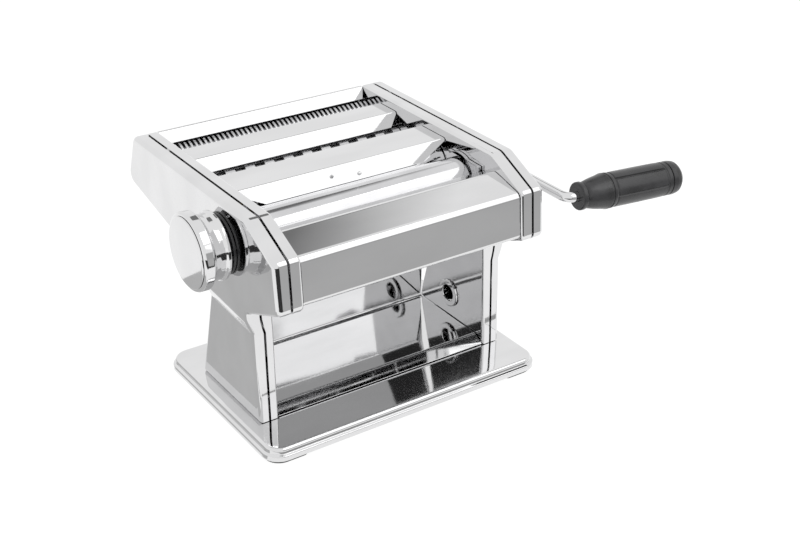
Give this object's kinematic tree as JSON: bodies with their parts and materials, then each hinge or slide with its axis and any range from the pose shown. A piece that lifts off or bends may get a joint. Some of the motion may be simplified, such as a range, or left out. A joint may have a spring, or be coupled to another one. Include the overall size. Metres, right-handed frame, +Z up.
{
  "type": "pasta roller machine",
  "caption": "Hand-cranked chrome pasta machine: paired smooth rollers with a thickness knob, wide and narrow cutting rollers, stepped base and black crank grip.",
  "frame": {"origin": "centre of the whole outline, crank included, on the table under the feet", "axes": "+X from the thickness knob to the crank, -Y the rounded nose side, +Z up"},
  "size_m": [0.3086, 0.2084, 0.1448],
  "materials": {
    "chrome": "mirror-polished pressed sheet",
    "roller_metal": "polished, turned",
    "steel": "plain bright steel",
    "brass": "turned bearing metal",
    "nylon": "off-white moulded nylon",
    "black_plastic": "satin black moulded plastic",
    "rubber": "matt black rubber"
  },
  "bodies": {
    "frame": {"base_plate": "chrome", "side_frame_left": "chrome", "side_frame_right": "chrome", "side_cover_left": "chrome", "side_cover_right": "chrome", "nose_cover": "chrome", "rear_cover": "chrome", "top_strip_rear": "chrome", "top_strip_front": "chrome", "centre_panel": "chrome", "clamp_socket": "chrome", "smooth_crank_port": "chrome", "wide_crank_port": "chrome", "narrow_crank_port": "chrome", "tie_rod_front": "steel", "tie_rod_middle": "steel", "tie_rod_rear": "steel", "dough_guide_left": "steel", "dough_guide_right": "steel", "scraper_front": "steel", "scraper_rear": "steel", "wide_comb": "steel", "narrow_comb": "steel", "rear_roller_bush_left": "brass", "rear_roller_bush_right": "brass", "wide_bearing_left": "brass", "wide_bearing_right": "brass", "narrow_bearing_left": "brass", "narrow_bearing_right": "brass", "index_ring": "black_plastic", "foot_front_left": "rubber", "foot_front_right": "rubber", "foot_rear_left": "rubber", "foot_rear_right": "rubber"},
    "adjuster": {"adjuster_shaft": "steel", "knob_screw": "steel", "knob_spring": "steel", "eccentric_bush_left": "brass", "eccentric_bush_right": "brass"},
    "knob": {"thickness_knob": "chrome", "knob_face": "chrome", "index_pin": "steel"},
    "front_roller_unit": {"front_roller": "roller_metal", "front_roller_gear": "nylon"},
    "rear_roller_unit": {"rear_roller": "roller_metal", "rear_roller_gear": "nylon", "crank_rod": "chrome", "grip_collar": "black_plastic", "grip_end_cap": "black_plastic"},
    "grip": {"crank_grip": "black_plastic"},
    "wide_rear_unit": {"wide_cutter_rear": "roller_metal", "wide_drive_socket": "steel", "wide_rear_gear": "nylon"},
    "wide_front_unit": {"wide_cutter_front": "roller_metal", "wide_front_gear": "nylon"},
    "narrow_rear_unit": {"narrow_cutter_rear": "roller_metal", "narrow_drive_socket": "steel", "narrow_rear_gear": "nylon"},
    "narrow_front_unit": {"narrow_cutter_front": "roller_metal", "narrow_front_gear": "nylon"}
  },
  "joints": [
    {"name": "rear_roller_spin", "type": "hinge", "parent": "frame", "child": "rear_roller_unit", "pos_m": [0, 0.00497, 0.119], "axis": [1, 0, 0], "continuous": true},
    {"name": "crank_grip_spin", "type": "hinge", "parent": "rear_roller_unit", "child": "grip", "pos_m": [0.07013, -0.08653, 0.119], "axis": [0.9954, -0.0893, -0.0333], "continuous": true},
    {"name": "knob_turn", "type": "hinge", "parent": "frame", "child": "adjuster", "pos_m": [0, -0.02448, 0.119], "axis": [1, 0, 0], "range_deg": [0, 180]},
    {"name": "knob_pull", "type": "slide", "parent": "adjuster", "child": "knob", "axis": [-1, 0, 0], "range_m": [0, 0.004], "stiffness_N_per_m": 1500, "springref_m": -0.002},
    {"name": "front_roller_spin", "type": "hinge", "parent": "adjuster", "child": "front_roller_unit", "pos_m": [0, -0.02548, 0.119], "axis": [1, 0, 0], "continuous": true},
    {"name": "wide_rear_spin", "type": "hinge", "parent": "frame", "child": "wide_rear_unit", "pos_m": [0, 0.04957, 0.1183], "axis": [1, 0, 0], "continuous": true},
    {"name": "wide_front_spin", "type": "hinge", "parent": "frame", "child": "wide_front_unit", "pos_m": [0, 0.03027, 0.1183], "axis": [1, 0, 0], "continuous": true},
    {"name": "narrow_rear_spin", "type": "hinge", "parent": "frame", "child": "narrow_rear_unit", "pos_m": [0, 0.08767, 0.1252], "axis": [1, 0, 0], "continuous": true},
    {"name": "narrow_front_spin", "type": "hinge", "parent": "frame", "child": "narrow_front_unit", "pos_m": [0, 0.06987, 0.1252], "axis": [1, 0, 0], "continuous": true}
  ],
  "couplings": [
    {"joint": "front_roller_spin", "follows": "rear_roller_spin", "ratio": -1},
    {"joint": "wide_front_spin", "follows": "wide_rear_spin", "ratio": -1},
    {"joint": "narrow_front_spin", "follows": "narrow_rear_spin", "ratio": -1}
  ]
}
